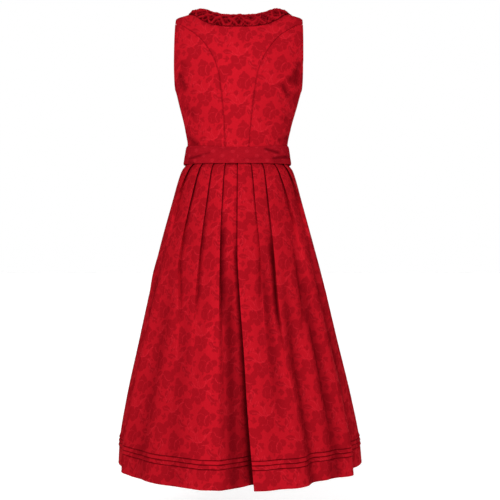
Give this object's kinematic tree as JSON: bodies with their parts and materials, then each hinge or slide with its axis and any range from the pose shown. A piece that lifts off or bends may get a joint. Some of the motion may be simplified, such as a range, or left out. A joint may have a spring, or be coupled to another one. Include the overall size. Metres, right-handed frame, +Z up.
{
  "type": "dirndl",
  "caption": "Sleeveless dirndl in red rose jacquard, hollow as worn, with princess-seam bodice, ruched neckline, knife-pleated skirt with tucks, and an apron tied in front.",
  "frame": {"origin": "midway between the wearer's shoulders, where the garment is carried", "axes": "+Z up along the wearer's spine, +Y towards the wearer's front, -Y to the back, -X to the wearer's left"},
  "size_m": [0.618, 0.5982, 1.1488],
  "materials": {
    "jacquard": "tone-on-tone rose jacquard, satin ground with matt motifs",
    "ruche_cloth": "plain matt dark red cloth, pinched",
    "apron_cloth": "soft red cloth with small lighter sprigs"
  },
  "bodies": {
    "root": {"back_centre": "jacquard", "back_side_left": "jacquard", "back_side_right": "jacquard", "front_left": "jacquard", "front_right": "jacquard", "front_side_left": "jacquard", "front_side_right": "jacquard", "skirt_back": "jacquard", "skirt_front": "jacquard", "neck_ruche": "ruche_cloth", "apron_band": "apron_cloth", "apron_panel": "apron_cloth", "bow_knot": "apron_cloth", "bow_loop_left": "apron_cloth", "bow_loop_right": "apron_cloth", "bow_end_left": "apron_cloth", "bow_end_right": "apron_cloth"}
  },
  "joints": []
}
